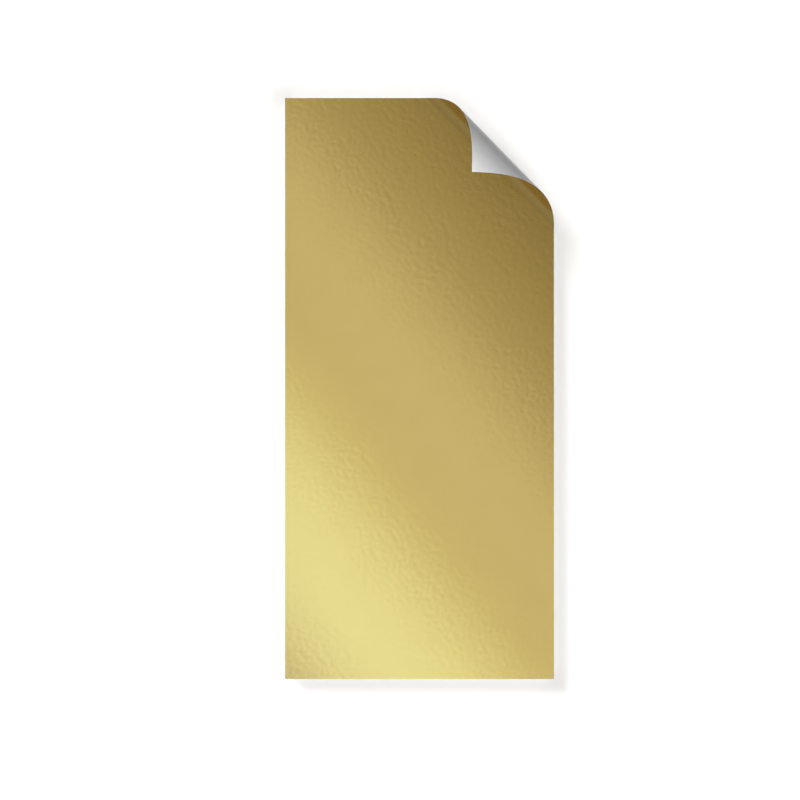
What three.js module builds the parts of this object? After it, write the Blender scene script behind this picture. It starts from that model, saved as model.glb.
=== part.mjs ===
// A cut sheet of self-adhesive sign vinyl with a gold metallic face, lying flat with
// its top right corner curled up and over towards the face.
//
// Millimetres, +Z up. The sheet lies on z = 0, face film up, with its long side along Y.
// The origin is on the underside, at the middle of the sheet.
//
// The sheet is three bonded layers: the face film on top, the pressure sensitive
// adhesive, and the release liner underneath. It is sliced along its bending lines:
//   - across the corner, parallel to the fold, where the corner curls (strips 1 to 7);
//   - across the width, where the lower half winds up into a roll (strips 1 to 13).
// Every bending line is a hinge at the top of the film, on the inside of the bend, so the
// slices part on the outside of the bend and never press into each other.
// In curl strip 3 the film and its adhesive are cut once more: above that cut they lift
// off the liner.

import * as THREE from 'three';

// ---------------------------------------------------------------- sheet
const SHEET_WIDTH = 305;        // across, along X (a 12 inch web)
const SHEET_LENGTH = 659;       // along Y

// ---------------------------------------------------------------- layers
const LINER_THICKNESS = 0.145;
const ADHESIVE_THICKNESS = 0.025;
const FILM_THICKNESS = 0.08;
const LAYER_GAP = 0.004;        // clearance between two layers
const EDGE_GAP = 0.025;         // set-back of each slice from its bending line

const LINER_BOTTOM = 0;
const LINER_TOP = LINER_BOTTOM + LINER_THICKNESS;
const ADHESIVE_BOTTOM = LINER_TOP + LAYER_GAP;
const ADHESIVE_TOP = ADHESIVE_BOTTOM + ADHESIVE_THICKNESS;
const FILM_BOTTOM = ADHESIVE_TOP + LAYER_GAP;
const FILM_TOP = FILM_BOTTOM + FILM_THICKNESS;

// ---------------------------------------------------------------- corner curl
const FOLD_TOP_X = 7.77;        // where the fold line meets the top edge
const FOLD_RIGHT_Y = 181.36;    // where the fold line meets the right edge
// distance of each bending line from the fold line, measured on the flat sheet
const CURL_LINES = [3, 13, 25, 38, 52, 66, 82];
// degrees at each bending line: tight at the base, slack towards the corner
const CURL_BENDS = [41.1087, 29.3596, 19.5794, 17.029, 17.0164, 18.5749, 24.0902];
const PEEL_STRIP = 3;           // the film lifts off the liner in this strip
const PEEL_LINE = 31.4;         // where, from the fold line, on the flat sheet

// ---------------------------------------------------------------- roll-up
// length of each roll strip, from the first bending line to the bottom edge
const ROLL_FIRST_LENGTH = 29;
const ROLL_SHORTER_BY = 0.6;
const ROLL_STRIPS = 13;

// ---------------------------------------------------------------- materials
function material(color, roughness, metalness) {
  return new THREE.MeshStandardMaterial({ color: new THREE.Color(...color), roughness, metalness });
}
const goldFilm = () => material([0.80, 0.62, 0.28], 0.32, 1.0);
const clearAdhesive = () => material([0.74, 0.74, 0.72], 0.15, 0.0);
const coatedLiner = () => material([0.80, 0.80, 0.81], 0.35, 0.0);

// ---------------------------------------------------------------- helpers
// A slab with the given outline in XY, between two heights.
function slab(outline, bottom, top) {
  const shape = new THREE.Shape(outline.map(([x, y]) => new THREE.Vector2(x, y)));
  const geometry = new THREE.ExtrudeGeometry(shape, { depth: top - bottom, bevelEnabled: false });
  geometry.translate(0, 0, bottom);
  return geometry;
}

function piece(name, outline, bottom, top, mat) {
  const mesh = new THREE.Mesh(slab(outline, bottom, top), mat);
  mesh.name = name;
  return mesh;
}

const two = (n) => String(n).padStart(2, '0');

// ---------------------------------------------------------------- the curled corner
// Corner frame: origin where the fold meets the top edge, at the top of the film;
// +X across the fold towards the corner, -Y along the fold towards the right edge.
const corner = new THREE.Vector2(SHEET_WIDTH / 2, SHEET_LENGTH / 2);
const foldTop = new THREE.Vector2(FOLD_TOP_X, SHEET_LENGTH / 2);
const foldRight = new THREE.Vector2(SHEET_WIDTH / 2, FOLD_RIGHT_Y);
const along = foldRight.clone().sub(foldTop);
const FOLD_LENGTH = along.length();
along.normalize();
const across = new THREE.Vector2(-along.y, along.x);
const CORNER_ACROSS = corner.clone().sub(foldTop).dot(across);
const CORNER_ALONG = corner.clone().sub(foldTop).dot(along);

// The sheet's top edge and right edge in the corner frame, at a distance s from the fold.
const topEdge = (s) => -CORNER_ALONG * s / CORNER_ACROSS;
const rightEdge = (s) => -FOLD_LENGTH + (FOLD_LENGTH - CORNER_ALONG) * s / CORNER_ACROSS;

// Outline of the corner between two distances from the fold, with X counted from x0.
function cornerOutline(from, to, x0) {
  if (to >= CORNER_ACROSS) {
    return [[from - x0, rightEdge(from)], [CORNER_ACROSS - x0, -CORNER_ALONG], [from - x0, topEdge(from)]];
  }
  return [[from - x0, rightEdge(from)], [to - x0, rightEdge(to)], [to - x0, topEdge(to)], [from - x0, topEdge(from)]];
}

// Heights of the layers below the top of the film.
const down = (z) => z - FILM_TOP;

const curl = new THREE.Group();
curl.position.set(foldTop.x, foldTop.y, FILM_TOP);
curl.rotation.z = Math.atan2(across.y, across.x);

let hinge = curl;
let lineBefore = 0;
CURL_LINES.forEach((line, i) => {
  const n = i + 1;
  const next = i + 1 < CURL_LINES.length ? CURL_LINES[i + 1] : CORNER_ACROSS;
  const group = new THREE.Group();
  group.position.x = line - lineBefore;
  group.rotation.y = -THREE.MathUtils.degToRad(CURL_BENDS[i]);
  hinge.add(group);

  const from = line + EDGE_GAP;
  const to = i + 1 < CURL_LINES.length ? next - EDGE_GAP : next;
  const layers = (suffix, a, b) => {
    const outline = cornerOutline(a, b, line);
    group.add(piece(`curl_film_${n}${suffix}`, outline, down(FILM_BOTTOM), down(FILM_TOP), goldFilm()));
    group.add(piece(`curl_adhesive_${n}${suffix}`, outline, down(ADHESIVE_BOTTOM), down(ADHESIVE_TOP), clearAdhesive()));
  };
  if (n === PEEL_STRIP) {
    layers('_fixed', from, PEEL_LINE - EDGE_GAP);
    layers('_lifting', PEEL_LINE + EDGE_GAP, to);
  } else {
    layers('', from, to);
  }
  group.add(piece(`curl_liner_${n}`, cornerOutline(from, to, line), down(LINER_BOTTOM), down(LINER_TOP), coatedLiner()));

  hinge = group;
  lineBefore = line;
});

// ---------------------------------------------------------------- the flat panel
const rollLengths = Array.from({ length: ROLL_STRIPS }, (_, i) => ROLL_FIRST_LENGTH - ROLL_SHORTER_BY * i);
const ROLL_LENGTH = rollLengths.reduce((a, b) => a + b, 0);
const ROLL_START = -SHEET_LENGTH / 2 + ROLL_LENGTH;

const flat = new THREE.Group();
const mainEnd = CURL_LINES[0] - EDGE_GAP;
const place = (s, y) => {
  const p = foldTop.clone().addScaledVector(across, s).addScaledVector(along, -y);
  return [p.x, p.y];
};
const mainOutline = [
  [-SHEET_WIDTH / 2, ROLL_START + EDGE_GAP],
  [SHEET_WIDTH / 2, ROLL_START + EDGE_GAP],
  place(mainEnd, rightEdge(mainEnd)),
  place(mainEnd, topEdge(mainEnd)),
  [-SHEET_WIDTH / 2, SHEET_LENGTH / 2],
];
flat.add(piece('main_film', mainOutline, FILM_BOTTOM, FILM_TOP, goldFilm()));
flat.add(piece('main_adhesive', mainOutline, ADHESIVE_BOTTOM, ADHESIVE_TOP, clearAdhesive()));
flat.add(piece('main_liner', mainOutline, LINER_BOTTOM, LINER_TOP, coatedLiner()));

// ---------------------------------------------------------------- the lower half, which rolls up
// Roll frame: origin on the first bending line at the top of the film, strips towards -Y.
// Here the adhesive is never uncovered, and is part of the film's solid.
const roll = new THREE.Group();
roll.position.set(0, ROLL_START, FILM_TOP);
let parent = roll;
let step = 0;
rollLengths.forEach((length, i) => {
  const group = new THREE.Group();
  group.position.y = -step;
  parent.add(group);
  const last = i + 1 === ROLL_STRIPS;
  const outline = [
    [-SHEET_WIDTH / 2, -length + (last ? 0 : EDGE_GAP)],
    [SHEET_WIDTH / 2, -length + (last ? 0 : EDGE_GAP)],
    [SHEET_WIDTH / 2, -EDGE_GAP],
    [-SHEET_WIDTH / 2, -EDGE_GAP],
  ];
  group.add(piece(`roll_film_${two(i + 1)}`, outline, down(ADHESIVE_BOTTOM), down(FILM_TOP), goldFilm()));
  group.add(piece(`roll_liner_${two(i + 1)}`, outline, down(LINER_BOTTOM), down(LINER_TOP), coatedLiner()));
  parent = group;
  step = length;
});

const sheet = new THREE.Group();
sheet.name = 'sign_vinyl_sheet';
sheet.add(flat, curl, roll);

export default sheet;
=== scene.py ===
import math

import bpy
import numpy as np
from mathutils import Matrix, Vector


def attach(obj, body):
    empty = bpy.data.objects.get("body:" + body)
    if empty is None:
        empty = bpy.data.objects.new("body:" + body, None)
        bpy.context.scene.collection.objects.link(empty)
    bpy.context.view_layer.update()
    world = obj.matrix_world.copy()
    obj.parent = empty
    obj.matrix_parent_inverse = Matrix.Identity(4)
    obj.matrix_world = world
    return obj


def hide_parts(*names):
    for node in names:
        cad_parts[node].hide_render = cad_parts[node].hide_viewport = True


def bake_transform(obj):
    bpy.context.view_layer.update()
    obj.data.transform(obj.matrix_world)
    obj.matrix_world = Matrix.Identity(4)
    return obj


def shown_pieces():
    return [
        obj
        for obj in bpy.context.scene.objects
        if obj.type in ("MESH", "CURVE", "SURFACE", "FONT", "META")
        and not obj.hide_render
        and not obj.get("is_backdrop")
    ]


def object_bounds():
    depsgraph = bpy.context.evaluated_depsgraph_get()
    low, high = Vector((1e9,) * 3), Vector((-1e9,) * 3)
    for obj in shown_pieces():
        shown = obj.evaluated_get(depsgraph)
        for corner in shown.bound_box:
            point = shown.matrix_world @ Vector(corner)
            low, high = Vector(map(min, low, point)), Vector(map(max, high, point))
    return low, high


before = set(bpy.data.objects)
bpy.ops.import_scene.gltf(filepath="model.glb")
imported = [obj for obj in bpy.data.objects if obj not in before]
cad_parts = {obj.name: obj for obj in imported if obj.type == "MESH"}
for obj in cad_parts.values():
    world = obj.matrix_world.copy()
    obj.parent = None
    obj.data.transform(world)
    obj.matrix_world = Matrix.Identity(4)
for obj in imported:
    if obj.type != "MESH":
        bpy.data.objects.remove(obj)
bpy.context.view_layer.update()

# ------------------------------------------------------------------ sizes, in mm
WIDTH, LENGTH = 305.0, 659.0
LINER_TOP = 0.145
ADHESIVE_BOTTOM, ADHESIVE_TOP = 0.149, 0.174
FILM_BOTTOM, FILM_TOP = 0.178, 0.258
FOLD_TOP_X, FOLD_RIGHT_Y = 7.77, 181.36
CURL_BENDS = [41.1087, 29.3596, 19.5794, 17.029, 17.0164, 18.5749, 24.0902]
PEEL_STRIP, PEEL_LINE, PEEL_BLEND = 3, 31.4, 3.6
ROLL_LENGTHS = [29 - 0.6 * i for i in range(13)]

# ------------------------------------------------------------------ the smooth curl
# Corner frame: s across the fold towards the corner, t along it towards the right edge.
A = np.array([FOLD_TOP_X, LENGTH / 2])
ALONG = np.array([WIDTH / 2 - FOLD_TOP_X, FOLD_RIGHT_Y - LENGTH / 2])
FOLD = float(np.hypot(*ALONG))
ALONG = ALONG / FOLD
ACROSS = np.array([-ALONG[1], ALONG[0]])
S_TIP = float((np.array([WIDTH / 2, LENGTH / 2]) - A) @ ACROSS)
T_TIP = float((np.array([WIDTH / 2, LENGTH / 2]) - A) @ ALONG)


def theta(s):
    """Direction of the sheet, in degrees, at a distance s from the fold."""
    s = np.maximum(s, 0.0)
    return 57.755 * (1 - np.exp(-s / 9.037)) + 1.040 * s + 0.00145 * s * s


S_TABLE = np.linspace(0, S_TIP, 20001)
_d = np.radians(theta(S_TABLE))
_step = S_TABLE[1] - S_TABLE[0]
H_TABLE = np.concatenate([[0], np.cumsum((np.cos(_d[1:]) + np.cos(_d[:-1])) / 2) * _step])
Z_TABLE = np.concatenate([[0], np.cumsum((np.sin(_d[1:]) + np.sin(_d[:-1])) / 2) * _step])
# where the smooth sheet runs parallel to each strip of the frame
TANGENTS = [0.0] + [float(np.interp(c, theta(S_TABLE), S_TABLE)) for c in np.cumsum(CURL_BENDS)]


def surface(x, y, corner):
    """Place and outward normal of the film's face, and the two tangents, at flat coordinates x, y."""
    shape = x.shape
    if not corner:
        one, zero = np.ones(shape), np.zeros(shape)
        return (
            np.stack([x, y, FILM_TOP * one], -1),
            np.stack([zero, zero, one], -1),
            np.stack([one, zero, zero], -1),
            np.stack([zero, one, zero], -1),
        )
    s = (x - A[0]) * ACROSS[0] + (y - A[1]) * ACROSS[1]
    t = (x - A[0]) * ALONG[0] + (y - A[1]) * ALONG[1]
    h, z = np.interp(s, S_TABLE, H_TABLE), np.interp(s, S_TABLE, Z_TABLE)
    d = np.radians(theta(s))
    c, q = np.cos(d), np.sin(d)
    place = np.stack([A[0] + ACROSS[0] * h + ALONG[0] * t, A[1] + ACROSS[1] * h + ALONG[1] * t, FILM_TOP + z], -1)
    normal = np.stack([-q * ACROSS[0], -q * ACROSS[1], c], -1)
    tan_s = np.stack([c * ACROSS[0], c * ACROSS[1], q], -1)
    tan_t = np.stack([ALONG[0] + 0 * s, ALONG[1] + 0 * s, 0 * s], -1)
    # along flat x and y
    tan_x = tan_s * ACROSS[0] + tan_t * ALONG[0]
    tan_y = tan_s * ACROSS[1] + tan_t * ALONG[1]
    return place, normal, tan_x, tan_y


# ------------------------------------------------------------------ relief
_random = np.random.RandomState(7)
_LATTICE = _random.uniform(0, 2 * math.pi, (256, 256))


def noise(x, y, size, seed):
    """Smooth gradient noise, about -0.7 to 0.7, with the given feature size."""
    x, y = x / size + seed * 17.13, y / size + seed * 9.71
    x0, y0 = np.floor(x).astype(int), np.floor(y).astype(int)
    fx, fy = x - x0, y - y0
    ux, uy = fx ** 3 * (fx * (fx * 6 - 15) + 10), fy ** 3 * (fy * (fy * 6 - 15) + 10)

    def corner(i, j):
        g = _LATTICE[(x0 + i) % 256, (y0 + j) % 256]
        return np.cos(g) * (fx - i) + np.sin(g) * (fy - j)

    a = corner(0, 0) * (1 - ux) + corner(1, 0) * ux
    b = corner(0, 1) * (1 - ux) + corner(1, 1) * ux
    return a * (1 - uy) + b * uy


# the foil's dents are a little longer across the light's diagonal bands than along them
GRAIN = math.radians(-52)


def film_relief(x, y):
    """Height of the foil's shallow dents, in mm."""
    u = x * math.cos(GRAIN) + y * math.sin(GRAIN)
    v = -x * math.sin(GRAIN) + y * math.cos(GRAIN)
    # the dents wander, so that they never line up with the lattice
    wu, wv = 3.0 * noise(u, v, 21, 3), 3.0 * noise(u, v, 21, 4)
    patch = np.clip(0.95 + 0.5 * noise(u, v, 62, 1), 0.5, 1.4)
    dents = noise(u + wu, (v + wv) / 1.3, 4.4, 2)
    pits = np.maximum(noise(u - wv, (v + wu) / 1.2, 5.4, 5) - 0.05, 0) ** 1.2
    return np.clip(patch * (0.028 * dents - 0.053 * pits) + 0.004 * noise(u / 1.6, v, 15, 6), -0.045, 0.045)


def liner_relief(x, y):
    """Height of the liner's faint cockle, in mm."""
    return 0.020 * noise(x, y, 34, 8) + 0.006 * noise(x, y, 9, 9)


def flat_relief(x, y):
    return np.zeros(x.shape)


def sloped(relief, x, y):
    e = 0.2
    return relief(x, y), (relief(x + e, y) - relief(x - e, y)) / (2 * e), (relief(x, y + e) - relief(x, y - e)) / (2 * e)


# ------------------------------------------------------------------ meshes
def unit(v):
    return v / np.linalg.norm(v, axis=-1, keepdims=True)


def slab(name, x, y, bottom, top, corner, material, top_relief=flat_relief, bottom_relief=flat_relief):
    """A closed thin solid over a grid of flat coordinates x, y (rows, columns), from one height to another."""
    place, normal, tan_x, tan_y = surface(x, y, corner)
    rt, gx, gy = sloped(top_relief, x, y)
    rb, bx, by = sloped(bottom_relief, x, y)
    upper = place + normal * (top - FILM_TOP + rt)[..., None]
    lower = place + normal * (bottom - FILM_TOP + rb)[..., None]
    n_up = unit(normal - gx[..., None] * tan_x - gy[..., None] * tan_y)
    n_low = unit(-normal + bx[..., None] * tan_x + by[..., None] * tan_y)
    rows, cols = x.shape
    count = rows * cols
    ids = np.arange(count).reshape(rows, cols)
    a, b, c, d = ids[:-1, :-1], ids[:-1, 1:], ids[1:, 1:], ids[1:, :-1]
    quads = np.stack([a, b, c, d], -1).reshape(-1, 4)
    first = np.cross(upper[0, 1] - upper[0, 0], upper[1, 0] - upper[0, 0])
    if float(first @ normal[0, 0]) < 0:
        quads = quads[:, ::-1]
    under = quads[:, ::-1] + count
    rim = np.concatenate([ids[0, :-1], ids[:-1, -1], ids[-1, :0:-1], ids[:0:-1, 0]])
    after = np.roll(rim, -1)
    walls = np.stack([rim, rim + count, after + count, after], -1)
    if float(first @ normal[0, 0]) < 0:
        walls = walls[:, ::-1]
    faces = np.concatenate([quads, under, walls]).astype(np.int32)
    points = np.concatenate([upper.reshape(-1, 3), lower.reshape(-1, 3)]) / 1000

    mesh = bpy.data.meshes.new(name)
    mesh.vertices.add(len(points))
    mesh.vertices.foreach_set("co", points.astype(np.float32).ravel())
    mesh.loops.add(faces.size)
    mesh.loops.foreach_set("vertex_index", faces.ravel())
    mesh.polygons.add(len(faces))
    mesh.polygons.foreach_set("loop_start", np.arange(0, faces.size, 4, dtype=np.int32))
    mesh.update(calc_edges=True)
    mesh.validate()
    smooth = np.ones(len(faces), bool)
    smooth[len(quads) * 2:] = False
    mesh.polygons.foreach_set("use_smooth", smooth)
    flat_xy = np.stack([(x + WIDTH / 2) / 1000, (y + LENGTH / 2) / 1000], -1).reshape(-1, 2)
    flat_xy = np.concatenate([flat_xy, flat_xy])
    uv = mesh.uv_layers.new(name="flat")
    uv.data.foreach_set("uv", flat_xy[faces.ravel()].astype(np.float32).ravel())
    normals = np.concatenate([n_up.reshape(-1, 3), n_low.reshape(-1, 3)])[faces.ravel()]
    normals[len(quads) * 8:] = 0.0
    mesh.normals_split_custom_set(normals.tolist())
    obj = bpy.data.objects.new(name, mesh)
    bpy.context.scene.collection.objects.link(obj)
    mesh.materials.append(material)
    return obj


def corner_grid(s0, s1, rows, cols):
    """Flat coordinates over the corner, between two distances from the fold."""
    s = np.linspace(s0, min(s1, S_TIP - 0.06), rows + 1)[:, None]
    v = np.linspace(0, 1, cols + 1)[None, :]
    t0, t1 = T_TIP * s / S_TIP, FOLD - (FOLD - T_TIP) * s / S_TIP
    t = t0 + (t1 - t0) * v
    s = s + 0 * t
    return A[0] + ACROSS[0] * s + ALONG[0] * t, A[1] + ACROSS[1] * s + ALONG[1] * t


def band_grid(y0, y1, rows, cols):
    """Flat coordinates over the whole width, between two heights."""
    y = np.linspace(y0, y1, rows + 1)[:, None]
    u = np.linspace(0, 1, cols + 1)[None, :]
    x = -WIDTH / 2 + WIDTH * u + 0 * y
    return x, y + 0 * x


def main_grid(y0, below, beside, cols):
    """Flat coordinates over the flat part, up to the top edge and the fold."""
    y = np.concatenate([np.linspace(y0, FOLD_RIGHT_Y, below + 1), np.linspace(FOLD_RIGHT_Y, LENGTH / 2, beside + 1)[1:]])[:, None]
    right = np.where(y > FOLD_RIGHT_Y, WIDTH / 2 + (FOLD_TOP_X - WIDTH / 2) * (y - FOLD_RIGHT_Y) / (LENGTH / 2 - FOLD_RIGHT_Y), WIDTH / 2)
    u = np.linspace(0, 1, cols + 1)[None, :]
    x = -WIDTH / 2 + (right + WIDTH / 2) * u
    return x, y + 0 * x


# ------------------------------------------------------------------ materials
def nodes_of(name):
    material = bpy.data.materials.new(name)
    material.use_nodes = True
    tree = material.node_tree
    shader = tree.nodes["Principled BSDF"]
    uv = tree.nodes.new("ShaderNodeUVMap")
    uv.uv_map = "flat"
    return material, tree, shader, uv.outputs["UV"]


def noise_node(tree, coords, scale, detail=3.0, rough=0.5, distortion=0.0):
    n = tree.nodes.new("ShaderNodeTexNoise")
    n.inputs["Scale"].default_value = scale
    n.inputs["Detail"].default_value = detail
    n.inputs["Roughness"].default_value = rough
    n.inputs["Distortion"].default_value = distortion
    tree.links.new(coords, n.inputs["Vector"])
    return n.outputs["Fac"]


def ramp(tree, value, stops):
    r = tree.nodes.new("ShaderNodeValToRGB")
    while len(r.color_ramp.elements) < len(stops):
        r.color_ramp.elements.new(0.5)
    for e, (at, colour) in zip(r.color_ramp.elements, stops):
        e.position = at
    for e, (at, colour) in zip(r.color_ramp.elements, stops):
        e.position = at
        e.color = (*colour, 1.0) if hasattr(colour, "__len__") else (colour, colour, colour, 1.0)
    tree.links.new(value, r.inputs["Fac"])
    return r.outputs["Color"]


def bump(tree, height, distance, normal=None):
    b = tree.nodes.new("ShaderNodeBump")
    b.inputs["Strength"].default_value = 1.0
    b.inputs["Distance"].default_value = distance
    tree.links.new(height, b.inputs["Height"])
    if normal is not None:
        tree.links.new(normal, b.inputs["Normal"])
    return b.outputs["Normal"]


def gold_foil():
    material, tree, shader, uv = nodes_of("gold_foil")
    shader.inputs["Metallic"].default_value = 0.9
    shader.inputs["Specular IOR Level"].default_value = 0.5
    cloud = noise_node(tree, uv, 28.0, 4.0, 0.55)
    tree.links.new(ramp(tree, cloud, [(0.30, (0.730, 0.541, 0.158)), (0.70, (0.746, 0.555, 0.164))]), shader.inputs["Base Color"])
    shader.inputs["Coat Weight"].default_value = 1.0
    shader.inputs["Coat Roughness"].default_value = 0.14
    shader.inputs["Coat IOR"].default_value = 1.57
    haze = noise_node(tree, uv, 160.0, 3.0, 0.6)
    tree.links.new(ramp(tree, haze, [(0.25, 0.145), (0.75, 0.165)]), shader.inputs["Roughness"])
    dents = bump(tree, noise_node(tree, uv, 190.0, 1.5, 0.5, 0.4), 0.000010)
    grain = bump(tree, noise_node(tree, uv, 1400.0, 2.0, 0.5), 0.0000006, dents)
    tree.links.new(grain, shader.inputs["Normal"])
    return material


def coated_liner():
    material, tree, shader, uv = nodes_of("coated_liner")
    shader.inputs["Metallic"].default_value = 0.0
    shader.inputs["Specular IOR Level"].default_value = 0.5
    cloud = noise_node(tree, uv, 45.0, 5.0, 0.6)
    tree.links.new(ramp(tree, cloud, [(0.30, (0.293, 0.294, 0.301)), (0.70, (0.315, 0.316, 0.323))]), shader.inputs["Base Color"])
    haze = noise_node(tree, uv, 160.0, 3.0, 0.6)
    tree.links.new(ramp(tree, haze, [(0.25, 0.30), (0.75, 0.38)]), shader.inputs["Roughness"])
    fibres = bump(tree, noise_node(tree, uv, 900.0, 4.0, 0.65), 0.000006)
    cockle = bump(tree, noise_node(tree, uv, 120.0, 2.0, 0.5), 0.000012, fibres)
    tree.links.new(cockle, shader.inputs["Normal"])
    return material


def clear_adhesive():
    material, tree, shader, uv = nodes_of("clear_adhesive")
    shader.inputs["Metallic"].default_value = 0.0
    shader.inputs["Alpha"].default_value = 0.38
    cloud = noise_node(tree, uv, 60.0, 4.0, 0.6)
    tree.links.new(ramp(tree, cloud, [(0.30, (0.70, 0.70, 0.67)), (0.70, (0.78, 0.78, 0.75))]), shader.inputs["Base Color"])
    tree.links.new(ramp(tree, cloud, [(0.30, 0.10), (0.70, 0.20)]), shader.inputs["Roughness"])
    peel = bump(tree, noise_node(tree, uv, 320.0, 3.0, 0.5), 0.00003)
    tree.links.new(peel, shader.inputs["Normal"])
    return material


GOLD, LINER, ADHESIVE = gold_foil(), coated_liner(), clear_adhesive()

FILM = dict(bottom=FILM_BOTTOM, top=FILM_TOP, material=GOLD, top_relief=film_relief)
GLUE = dict(bottom=ADHESIVE_BOTTOM, top=ADHESIVE_TOP, material=ADHESIVE)
BACK = dict(bottom=0.0, top=LINER_TOP, material=LINER)
CURL_BACK = dict(bottom=0.0, top=LINER_TOP, material=LINER, bottom_relief=liner_relief)


def finish_piece(obj, slot, *nodes):
    if nodes:
        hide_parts(*nodes)
    return obj


# ------------------------------------------------------------------ the flat part
ROLL_START = -LENGTH / 2 + sum(ROLL_LENGTHS)
ROLL_LEAD = 14.5
roll_lines = [ROLL_START - sum(ROLL_LENGTHS[:i]) for i in range(13)]
roll_bounds = [ROLL_START + ROLL_LEAD] + [roll_lines[i] - ROLL_LENGTHS[i] / 2 for i in range(12)] + [-LENGTH / 2]

main_film = slab("film_flat", *main_grid(roll_bounds[0], 90, 115, 170), corner=False, **FILM)
main_glue = slab("adhesive_flat", *main_grid(roll_bounds[0], 12, 12, 16), corner=False, **GLUE)
main_back = slab("liner_flat", *main_grid(roll_bounds[0], 24, 24, 40), corner=False, **BACK)
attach(finish_piece(main_film, "gold_film", "main_film"), "sheet")
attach(finish_piece(main_glue, "adhesive", "main_adhesive"), "sheet")
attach(finish_piece(main_back, "liner", "main_liner"), "sheet")

# ------------------------------------------------------------------ the curled corner
COLS = 115
LAST = len(CURL_BENDS)


def rows_for(s0, s1):
    s1 = min(s1, S_TIP)
    return max(3, int(round((s1 - s0) / (0.6 if s0 < 12 else 0.9 if s0 < 30 else 1.15))))


def curl_piece(kind, name, s0, s1, a, b, nodes):
    """One layer of the corner between two distances from the fold, between body a and body b; it is attached to a body
    only when a and b are the same.
    """
    layer, slot_name, cols = {"film": (FILM, "gold_film", COLS), "adhesive": (GLUE, "adhesive", 10), "liner": (CURL_BACK, "liner", 60)}[kind]
    obj = slab(name, *corner_grid(s0, s1, rows_for(s0, s1), cols), corner=True, **layer)
    finish_piece(obj, slot_name, *nodes)
    if a == b:
        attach(obj, a)
    else:
        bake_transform(obj)
    return obj


for k in range(1, LAST + 1):
    s0, s1 = TANGENTS[k - 1], TANGENTS[k] if k < LAST else S_TIP
    before = "sheet" if k == 1 else f"curl_{k - 1}"
    here = f"curl_{k}"
    film_before, film_here = before, here
    if k > PEEL_STRIP:
        film_before, film_here = f"film_flap_{k - 1}", f"film_flap_{k}"
    if k == PEEL_STRIP + 1:
        s0 = PEEL_LINE + PEEL_BLEND
    if k == PEEL_STRIP:
        s1 = PEEL_LINE
    suffix = "_fixed" if k == PEEL_STRIP else ""
    curl_piece("film", f"film_curl_{k}", s0, s1, film_before, film_here, [f"curl_film_{k}{suffix}"])
    curl_piece("adhesive", f"adhesive_curl_{k}", s0, s1, film_before, film_here, [f"curl_adhesive_{k}{suffix}"])
    curl_piece("liner", f"liner_curl_{k}", s0, s1, before, here, [f"curl_liner_{k}"])
    if k == PEEL_STRIP:
        lift0, lift1 = PEEL_LINE, PEEL_LINE + PEEL_BLEND
        curl_piece("film", "film_lifting", lift0, lift1, here, f"film_flap_{k}", [f"curl_film_{k}_lifting"])
        curl_piece("adhesive", "adhesive_lifting", lift0, lift1, here, f"film_flap_{k}", [f"curl_adhesive_{k}_lifting"])
        curl_piece("liner", "liner_under_lifting", lift0, lift1, here, here, [])

# ------------------------------------------------------------------ the lower half, in strips across the width
for i in range(13):
    y1, y0 = roll_bounds[i], roll_bounds[i + 1]
    before = "sheet" if i == 0 else f"roll_{i:02d}"
    here = f"roll_{i + 1:02d}"
    rows = int(round((y1 - y0) / 1.7))
    for kind, layer, slot_name, cols, nodes in (
        ("film", FILM, "gold_film", 170, [f"roll_film_{i + 1:02d}"]),
        ("adhesive", GLUE, "adhesive", 12, []),
        ("liner", BACK, "liner", 40, [f"roll_liner_{i + 1:02d}"]),
    ):
        obj = slab(f"{kind}_roll_{i + 1:02d}", *band_grid(y0, y1, rows, cols), corner=False, **layer)
        finish_piece(obj, slot_name, *nodes)
        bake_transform(obj)

# ------------------------------------------------------------------ stage
CAMERA = np.array([-0.0221, -0.0130, 1.8 + FILM_TOP / 1000])
STAND = 0.0145


def stage_mesh(name, points, faces, material, smooth=False):
    mesh = bpy.data.meshes.new(name)
    mesh.from_pydata(points, [], faces)
    mesh.update()
    for p in mesh.polygons:
        p.use_smooth = smooth
    obj = bpy.data.objects.new(name, mesh)
    bpy.context.scene.collection.objects.link(obj)
    mesh.materials.append(material)
    obj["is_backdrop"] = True
    return obj


def pale_board():
    material = bpy.data.materials.new("pale_board")
    material.use_nodes = True
    tree = material.node_tree
    shader = tree.nodes["Principled BSDF"]
    shader.inputs["Roughness"].default_value = 0.9
    shader.inputs["Specular IOR Level"].default_value = 0.1
    coords = tree.nodes.new("ShaderNodeTexCoord").outputs["Object"]
    tree.links.new(ramp(tree, noise_node(tree, coords, 3.0, 3.0), [(0.3, 0.905), (0.7, 0.915)]), shader.inputs["Base Color"])
    return material


BOARD = pale_board()
floor = stage_mesh("floor", [(-9, -9, -STAND), (9, -9, -STAND), (9, 9, -STAND), (-9, 9, -STAND)], [(0, 1, 2, 3)], BOARD)
floor.visible_glossy = False

# a board under the sheet, a little smaller than it, with its corner cut along the fold
inset = 2.5
cut = A - ACROSS * inset
outline = [(-WIDTH / 2 + inset, -LENGTH / 2 + inset), (WIDTH / 2 - inset, -LENGTH / 2 + inset)]
k1 = (WIDTH / 2 - inset - cut[0]) / ALONG[0]
k2 = (LENGTH / 2 - inset - cut[1]) / ALONG[1]
outline += [tuple(cut + ALONG * k1), tuple(cut + ALONG * k2), (-WIDTH / 2 + inset, LENGTH / 2 - inset)]
n = len(outline)
top, low = -0.00003, -STAND
points = [(x / 1000, y / 1000, top) for x, y in outline] + [(x / 1000, y / 1000, low) for x, y in outline]
faces = [tuple(range(n)), tuple(range(2 * n - 1, n - 1, -1))] + [(i, i + n, (i + 1) % n + n, (i + 1) % n) for i in range(n)]
board = stage_mesh("board", points, faces, BOARD)

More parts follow.
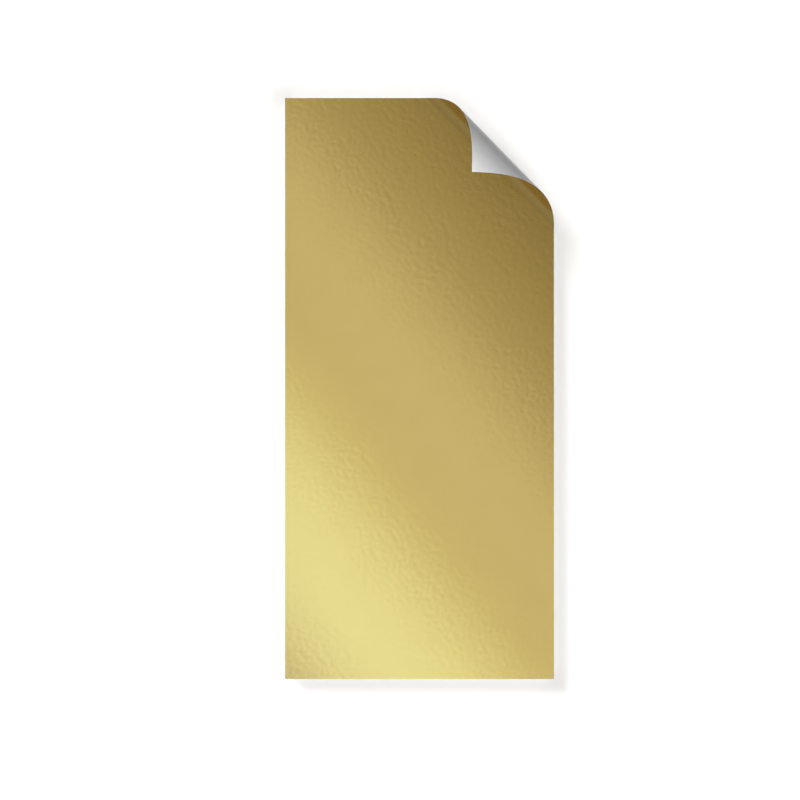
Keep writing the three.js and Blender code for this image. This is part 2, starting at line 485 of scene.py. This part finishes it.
# a large soft light overhead, brighter towards the lower left
PANEL_HEIGHT = 2.3
PANEL_HALF = 1.9
REACH = 1 + PANEL_HEIGHT / 1.8
BAND = math.radians(38)
# distance along the diagonal on the sheet, in mm, and the light that it should reflect
PANEL_LIGHT = [
    (-520, (0.20, 0.19, 0.17)),
    (-400, (0.38, 0.37, 0.36)),
    (-314, (0.85, 0.91, 1.00)),
    (-262, (1.24, 1.45, 1.65)),
    (-197, (1.17, 1.45, 1.51)),
    (-145, (1.12, 1.21, 1.16)),
    (-90, (0.70, 0.68, 0.60)),
    (0, (0.85, 0.85, 0.86)),
    (48, (0.81, 0.81, 0.80)),
    (106, (0.48, 0.45, 0.36)),
    (160, (0.45, 0.41, 0.30)),
    (232, (0.27, 0.23, 0.16)),
    (290, (0.25, 0.21, 0.15)),
]
PEAK = 2.0


def panel_light():
    material = bpy.data.materials.new("soft_panel")
    material.use_nodes = True
    tree = material.node_tree
    tree.nodes.clear()
    out = tree.nodes.new("ShaderNodeOutputMaterial")
    emission = tree.nodes.new("ShaderNodeEmission")
    emission.inputs["Strength"].default_value = PEAK
    coords = tree.nodes.new("ShaderNodeTexCoord").outputs["Object"]
    dot = tree.nodes.new("ShaderNodeVectorMath")
    dot.operation = "DOT_PRODUCT"
    dot.inputs[1].default_value = (math.cos(BAND), math.sin(BAND), 0)
    tree.links.new(coords, dot.inputs[0])
    centre = CAMERA[0] * math.cos(BAND) + CAMERA[1] * math.sin(BAND)
    low, high = PANEL_LIGHT[0][0] / 1000, PANEL_LIGHT[-1][0] / 1000
    remap = tree.nodes.new("ShaderNodeMapRange")
    remap.inputs["From Min"].default_value = (low - centre) * REACH
    remap.inputs["From Max"].default_value = (high - centre) * REACH
    tree.links.new(dot.outputs["Value"], remap.inputs["Value"])
    stops = [((w / 1000 - low) / (high - low), tuple(c / PEAK for c in colour)) for w, colour in PANEL_LIGHT]
    colour = ramp(tree, remap.outputs["Result"], stops)
    # the bright part is a strip as wide as the sheet's mirror image, dark beside it
    across = tree.nodes.new("ShaderNodeSeparateXYZ")
    tree.links.new(coords, across.inputs[0])
    left, right = (-WIDTH / 2000 - CAMERA[0]) * REACH, (WIDTH / 2000 - CAMERA[0]) * REACH
    edges = [(left - 0.28, 0.0), (left - 0.11, 1.0), (right + 0.15, 1.0), (right + 0.40, 0.0)]
    place = tree.nodes.new("ShaderNodeMapRange")
    place.inputs["From Min"].default_value, place.inputs["From Max"].default_value = -1.0, 1.0
    tree.links.new(across.outputs["X"], place.inputs["Value"])
    window = ramp(tree, place.outputs["Result"], [((e + 1) / 2, v) for e, v in edges])
    mix = tree.nodes.new("ShaderNodeMix")
    mix.data_type = "RGBA"
    tree.links.new(window, mix.inputs["Factor"])
    mix.inputs[6].default_value = (0.36 / PEAK, 0.31 / PEAK, 0.24 / PEAK, 1)
    tree.links.new(colour, mix.inputs[7])
    tree.links.new(mix.outputs[2], emission.inputs["Color"])
    tree.links.new(emission.outputs["Emission"], out.inputs["Surface"])
    return material


h = PANEL_HALF
panel = stage_mesh("soft_panel", [(-h, -h, 0), (-h, h, 0), (h, h, 0), (h, -h, 0)], [(0, 1, 2, 3)], panel_light())
panel.location = (CAMERA[0], CAMERA[1], PANEL_HEIGHT + FILM_TOP / 1000)


def sun(name, travel, energy, angle, place):
    light = bpy.data.lights.new(name, "SUN")
    light.energy = energy
    light.angle = math.radians(angle)
    obj = bpy.data.objects.new(name, light)
    obj.rotation_mode = "QUATERNION"
    obj.rotation_quaternion = Vector(travel).to_track_quat("-Z", "Y")
    obj.location = place
    bpy.context.scene.collection.objects.link(obj)
    return obj


def receivers(name, objects, state):
    """A light linking collection: the light reaches only these objects, or all but these."""
    group = bpy.data.collections.new(name)
    for obj in objects:
        group.objects.link(obj)
    for item in group.collection_objects:
        item.light_linking.link_state = state
    return group


def lamp(name, aim, travel, distance, size, power, colour=(1, 1, 1)):
    light = bpy.data.lights.new(name, "AREA")
    light.shape = "SQUARE"
    light.size = size
    light.energy = power
    light.color = colour
    obj = bpy.data.objects.new(name, light)
    way = Vector(travel).normalized()
    obj.rotation_mode = "QUATERNION"
    obj.rotation_quaternion = way.to_track_quat("-Z", "Y")
    obj.location = Vector(aim) - way * distance
    bpy.context.scene.collection.objects.link(obj)
    obj.visible_camera = False
    return obj


liner_pieces = [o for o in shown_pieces() if o.name.startswith("liner_")]
curl_films = [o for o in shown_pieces() if o.name.startswith("film_curl_") or o.name == "film_lifting"]

key = sun("key", (1.28, -1.32, -1.0), 2.42, 27, (-1.2, 1.1, 1.2))
fill = sun("fill", (-0.95, 0.97, -1.0), 1.8, 50, (1.2, -1.2, 1.2))
# the two suns make the soft shadow on the stage; their mirror images stay out of the foil
stage_only = receivers("stage_only", [floor, board], "INCLUDE")
key.light_linking.receiver_collection = stage_only
fill.light_linking.receiver_collection = stage_only
sky = lamp("sky", (CAMERA[0], CAMERA[1], 0), (0, 0, -1), PANEL_HEIGHT - 0.05, 2 * PANEL_HALF, 14.5)
sky.light_linking.receiver_collection = stage_only

# the liner's back has its own lamp, from over the sheet, that leaves the crest of the curl dark
liner_lamp = lamp("liner_lamp", (0.10, 0.25, 0.06), (ACROSS[0] * 0.53, ACROSS[1] * 0.53, -0.848), 1.5, 0.3, 54)
# the tip of the curl leaves no mirror image in the flat film
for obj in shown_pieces():
    if obj.name.endswith(("_curl_6", "_curl_7")):
        obj.visible_glossy = False
liner_lamp.light_linking.receiver_collection = receivers("only_liner", liner_pieces, "INCLUDE")

# the film on the curl sees an even, dim panel, where the flat film sees the graded one
panel.light_linking.receiver_collection = receivers("all_but_curl_film", curl_films, "EXCLUDE")
dim = lamp("dim_panel", (CAMERA[0], CAMERA[1], 0), (0, 0, -1), PANEL_HEIGHT - 0.01, 2 * PANEL_HALF, 13.6, (1.0, 0.89, 0.70))
dim.light_linking.receiver_collection = receivers("only_curl_film", curl_films, "INCLUDE")

# the room: pale, with a dark side beyond the corner and a half dark one opposite it
world = bpy.data.worlds.new("world")
world.use_nodes = True
tree = world.node_tree
way = tree.nodes.new("ShaderNodeTexCoord").outputs["Generated"]
flat = tree.nodes.new("ShaderNodeVectorMath")
flat.operation = "MULTIPLY"
flat.inputs[1].default_value = (1, 1, 0)
tree.links.new(way, flat.inputs[0])
unit_way = tree.nodes.new("ShaderNodeVectorMath")
unit_way.operation = "NORMALIZE"
tree.links.new(flat.outputs["Vector"], unit_way.inputs[0])
dot = tree.nodes.new("ShaderNodeVectorMath")
dot.operation = "DOT_PRODUCT"
dot.inputs[1].default_value = (ACROSS[0], ACROSS[1], 0)
tree.links.new(unit_way.outputs["Vector"], dot.inputs[0])
turn = tree.nodes.new("ShaderNodeMapRange")
turn.inputs["From Min"].default_value, turn.inputs["From Max"].default_value = -1.0, 1.0
tree.links.new(dot.outputs["Value"], turn.inputs["Value"])
room = ramp(tree, turn.outputs["Result"], [(0.06, (0.29, 0.265, 0.23)), (0.25, (1.12, 1.12, 1.12)), (0.5, (1.18, 1.18, 1.18)), (0.75, (0.88, 0.88, 0.88)), (0.94, (0.16, 0.16, 0.16))])
# what the gloss sees below the horizon, where the floor is left out: pale, and dim on the near side of the curl
below = ramp(tree, turn.outputs["Result"], [(0.06, (0.31, 0.285, 0.25)), (0.5, (0.65, 0.65, 0.65)), (0.94, (0.95, 0.95, 0.95))])
rise = tree.nodes.new("ShaderNodeSeparateXYZ")
tree.links.new(way, rise.inputs[0])
# the walls are a little brighter low down
walls = ramp(tree, rise.outputs["Z"], [(0.0, 1.0), (0.22, 1.0), (0.45, 0.74), (0.75, 0.5)])
lit = tree.nodes.new("ShaderNodeMix")
lit.data_type = "RGBA"
lit.blend_type = "MULTIPLY"
tree.links.new(ramp(tree, turn.outputs["Result"], [(0.06, 0.0), (0.22, 1.0)]), lit.inputs["Factor"])
tree.links.new(room, lit.inputs[6])
tree.links.new(walls, lit.inputs[7])
above = tree.nodes.new("ShaderNodeMapRange")
above.inputs["From Min"].default_value, above.inputs["From Max"].default_value = -0.02, 0.02
tree.links.new(rise.outputs["Z"], above.inputs["Value"])
both = tree.nodes.new("ShaderNodeMix")
both.data_type = "RGBA"
tree.links.new(above.outputs["Result"], both.inputs["Factor"])
tree.links.new(below, both.inputs[6])
tree.links.new(lit.outputs[2], both.inputs[7])
tree.links.new(both.outputs[2], tree.nodes["Background"].inputs["Color"])
tree.nodes["Background"].inputs["Strength"].default_value = 1.10
bpy.context.scene.world = world

camera_data = bpy.data.cameras.new("camera")
camera_data.lens = 71.41
camera_data.sensor_width = 36.0
camera_data.clip_start, camera_data.clip_end = 0.02, 60.0
camera = bpy.data.objects.new("camera", camera_data)
camera.location = tuple(CAMERA)
camera.rotation_euler = (0.0, 0.0, 0.0)
bpy.context.scene.collection.objects.link(camera)
bpy.context.scene.camera = camera
bpy.context.scene.view_settings.view_transform = "Standard"
bpy.context.scene.view_settings.look = "None"

bpy.context.view_layer.update()
low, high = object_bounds()
